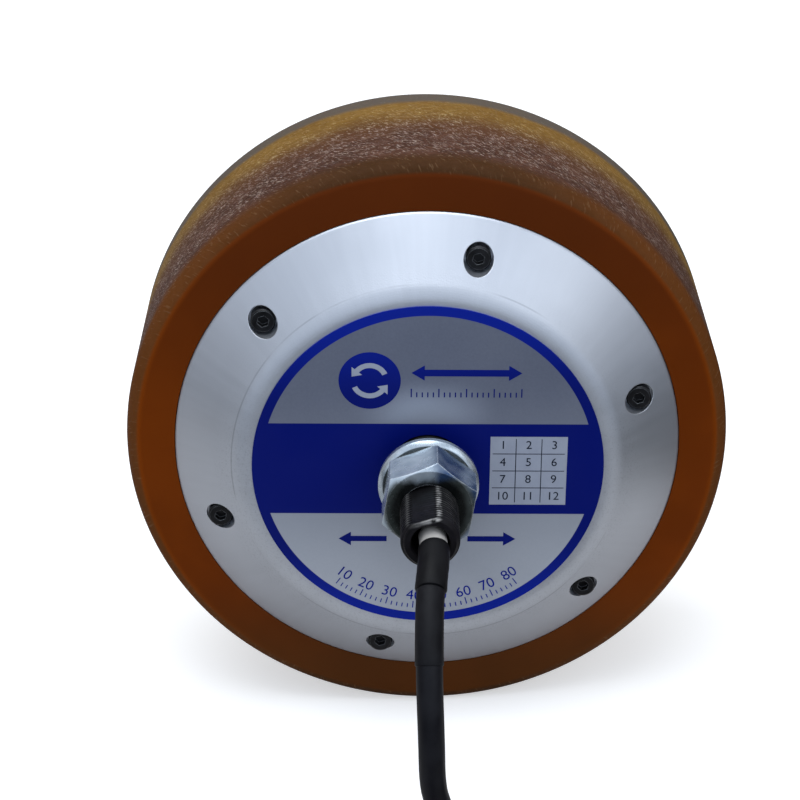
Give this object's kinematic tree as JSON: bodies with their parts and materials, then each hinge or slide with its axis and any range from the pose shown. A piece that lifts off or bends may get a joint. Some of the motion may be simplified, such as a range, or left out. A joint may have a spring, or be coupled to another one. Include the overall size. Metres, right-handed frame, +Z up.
{
  "type": "robot drive wheel",
  "caption": "Hub servo drive wheel with a brown polyurethane tyre, dished silver covers, a blue and silver label, and a black hollow axle with nut, washer and lead",
  "frame": {"origin": "on the axle's centre line at the nut's front face", "axes": "+X right, seen from the axle's free end; +Y along the axle to the closed rear cover; +Z up"},
  "size_m": [0.172, 0.248, 0.172],
  "materials": {
    "tread": "satin polyurethane",
    "cover_metal": "satin, clear anodised",
    "label_print": "glossy print on film",
    "black_steel": "black oxide",
    "zinc": "zinc plated",
    "steel": "ground",
    "copper": "enamelled wire",
    "insulation": "matt",
    "board": "solder mask",
    "black_rubber": "matt",
    "pale_plastic": "matt",
    "wire_plastic": "satin",
    "magnet": "nickel plated"
  },
  "bodies": {
    "stator": {"axle": "black_steel", "front_bearing_inner_race": "steel", "rear_bearing_inner_race": "steel", "stator_hub": "cover_metal", "hub_key": "steel", "stator_core": "steel", "front_insulator": "insulation", "rear_insulator": "insulation", "stator_coils": "copper", "encoder_board": "board", "board_standoffs": "zinc", "board_screws": "zinc", "phase_leads": "wire_plastic", "sensor_lead": "black_rubber", "inner_lead": "black_rubber", "bore_potting": "pale_plastic", "axle_washer": "zinc", "axle_nut": "zinc", "lead_liner": "pale_plastic", "lead_boot": "black_rubber", "lead_sleeve": "black_rubber", "lead_cable": "black_rubber", "lead_coil": "black_rubber", "lead_tail": "black_rubber", "plug_body": "black_rubber", "plug_ring": "zinc"},
    "wheel": {"rim_shell": "cover_metal", "tyre": "tread", "rotor_yoke": "steel", "rotor_magnets": "magnet", "front_cover": "cover_metal", "rear_cover": "cover_metal", "front_cover_screws": "black_steel", "rear_cover_screws": "black_steel", "label_plate": "label_print", "shaft_seal": "black_rubber", "front_bearing_outer_race": "steel", "front_bearing_shields": "steel", "rear_bearing_outer_race": "steel", "rear_bearing_shields": "steel", "preload_washer": "steel", "encoder_magnet_ring": "magnet"},
    "front_ball_set": {"front_bearing_cage": "pale_plastic", "front_bearing_balls": "zinc"},
    "rear_ball_set": {"rear_bearing_cage": "pale_plastic", "rear_bearing_balls": "zinc"}
  },
  "joints": [
    {"name": "wheel_spin", "type": "hinge", "parent": "stator", "child": "wheel", "pos_m": [0, 0.069, 0], "axis": [0, 1, 0], "continuous": true},
    {"name": "front_ball_spin", "type": "hinge", "parent": "stator", "child": "front_ball_set", "pos_m": [0, 0.0375, 0], "axis": [0, 1, 0], "continuous": true},
    {"name": "rear_ball_spin", "type": "hinge", "parent": "stator", "child": "rear_ball_set", "pos_m": [0, 0.095, 0], "axis": [0, 1, 0], "continuous": true}
  ],
  "couplings": [
    {"joint": "front_ball_spin", "follows": "wheel_spin", "ratio": 0.602},
    {"joint": "rear_ball_spin", "follows": "wheel_spin", "ratio": 0.592}
  ]
}
